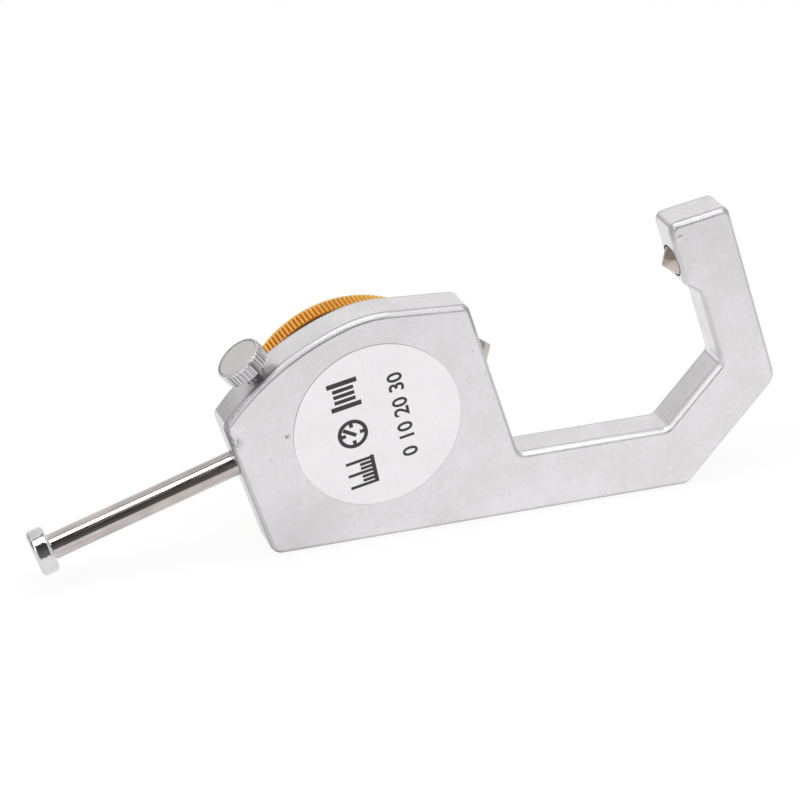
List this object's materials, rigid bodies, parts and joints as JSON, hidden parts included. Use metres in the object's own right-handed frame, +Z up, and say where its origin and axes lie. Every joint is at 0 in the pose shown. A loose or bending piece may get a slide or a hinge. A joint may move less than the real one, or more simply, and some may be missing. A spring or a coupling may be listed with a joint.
{
  "type": "dial thickness gauge",
  "caption": "Pocket dial thickness gauge: C-shaped frame with a fixed anvil, a sliding spindle with an end cap, a rotating bezel dial and a knurled lock screw.",
  "frame": {"origin": "middle of the lower edge that the gauge stands on", "axes": "+X along the standing edge towards the anvil arm, +Y from the labelled back to the dial, +Z up"},
  "size_m": [0.1223, 0.0128, 0.0476],
  "materials": {
    "cast_metal": "satin die-cast metal with fine pits and light scratches",
    "label": "thin printed plastic disc",
    "chrome": "bright plated and polished",
    "steel": "ground and hardened",
    "brass": "turned and brushed",
    "bezel_gold": "orange-gold anodised, satin",
    "dial_white": "matt white with printed marks",
    "hand_black": "satin black",
    "hand_red": "satin red",
    "crystal": "clear and polished",
    "rubber": "matt black"
  },
  "bodies": {
    "frame": {"frame_casting": "cast_metal", "back_label": "label", "rear_bush": "brass", "front_bush": "brass", "anvil_tip": "steel", "guide_key": "steel", "friction_spring": "steel", "friction_spring_screw": "steel", "main_plate": "brass", "bridge_plate": "brass", "bridge_pillar_1": "brass", "bridge_pillar_2": "brass", "bridge_pillar_3": "brass", "bridge_screw_1": "steel", "bridge_screw_2": "steel", "bridge_screw_3": "steel", "case_ring": "cast_metal", "case_screw_1": "steel", "case_screw_2": "steel", "case_screw_3": "steel", "rack_pivot_bush": "brass", "centre_bush": "brass", "centre_dial": "dial_white", "dial_screw_1": "steel", "dial_screw_2": "steel", "hairspring": "steel", "hairspring_stud": "brass"},
    "spindle": {"spindle_rod": "chrome", "contact_tip": "steel", "end_cap": "chrome"},
    "rack_shaft": {"rack_arbor": "steel", "rack_wheel": "brass"},
    "idler": {"idler_arbor": "steel", "idler_wheel": "brass"},
    "pointer_shaft": {"centre_arbor": "steel", "centre_wheel": "brass", "main_pointer": "hand_black", "pointer_hub": "brass"},
    "counter": {"counter_arbor": "steel", "counter_wheel": "brass", "hairspring_collet": "brass", "small_pointer": "hand_red"},
    "bezel_set": {"bezel": "bezel_gold", "bezel_wire": "steel", "scale_ring": "dial_white", "rehaut_ring": "dial_white", "crystal": "crystal", "crystal_gasket": "rubber"},
    "lock_pad": {"lock_pad": "brass"},
    "lock_screw": {"lock_screw": "chrome"}
  },
  "joints": [
    {"name": "spindle_slide", "type": "slide", "parent": "frame", "child": "spindle", "axis": [0.9527, 0, 0.3039], "range_m": [0, 0.03]},
    {"name": "rack_turn", "type": "hinge", "parent": "frame", "child": "rack_shaft", "pos_m": [-0.00877, 0, 0.02265], "axis": [0, 1, 0], "range_deg": [0, 1080.1]},
    {"name": "idler_turn", "type": "hinge", "parent": "frame", "child": "idler", "pos_m": [-0.01401, 0, 0.02098], "axis": [0, 1, 0], "range_deg": [-1080.1, 0]},
    {"name": "pointer_turn", "type": "hinge", "parent": "frame", "child": "pointer_shaft", "pos_m": [-0.01925, 0, 0.01931], "axis": [0, 1, 0], "range_deg": [0, 1080.1]},
    {"name": "counter_turn", "type": "hinge", "parent": "frame", "child": "counter", "pos_m": [-0.02095, 0, 0.02465], "axis": [0, 1, 0], "range_deg": [-360.1, 0]},
    {"name": "bezel_turn", "type": "hinge", "parent": "frame", "child": "bezel_set", "pos_m": [-0.01925, 0, 0.01931], "axis": [0, 1, 0], "continuous": true},
    {"name": "lock_pad_slide", "type": "slide", "parent": "frame", "child": "lock_pad", "axis": [-0.6196, 0, 0.7849], "range_m": [-0.00005, 0.001]},
    {"name": "lock_screw_turn", "type": "hinge", "parent": "lock_pad", "child": "lock_screw", "pos_m": [-0.0282, 0, 0.01939], "axis": [-0.6196, 0, 0.7849], "range_deg": [-36.01, 720.1]}
  ],
  "couplings": [
    {"joint": "rack_turn", "follows": "spindle_slide", "rad_per_m": 628.32},
    {"joint": "idler_turn", "follows": "spindle_slide", "rad_per_m": -628.32},
    {"joint": "pointer_turn", "follows": "spindle_slide", "rad_per_m": 628.32},
    {"joint": "counter_turn", "follows": "spindle_slide", "rad_per_m": -209.44},
    {"joint": "lock_screw_turn", "follows": "lock_pad_slide", "rad_per_m": 12566}
  ]
}
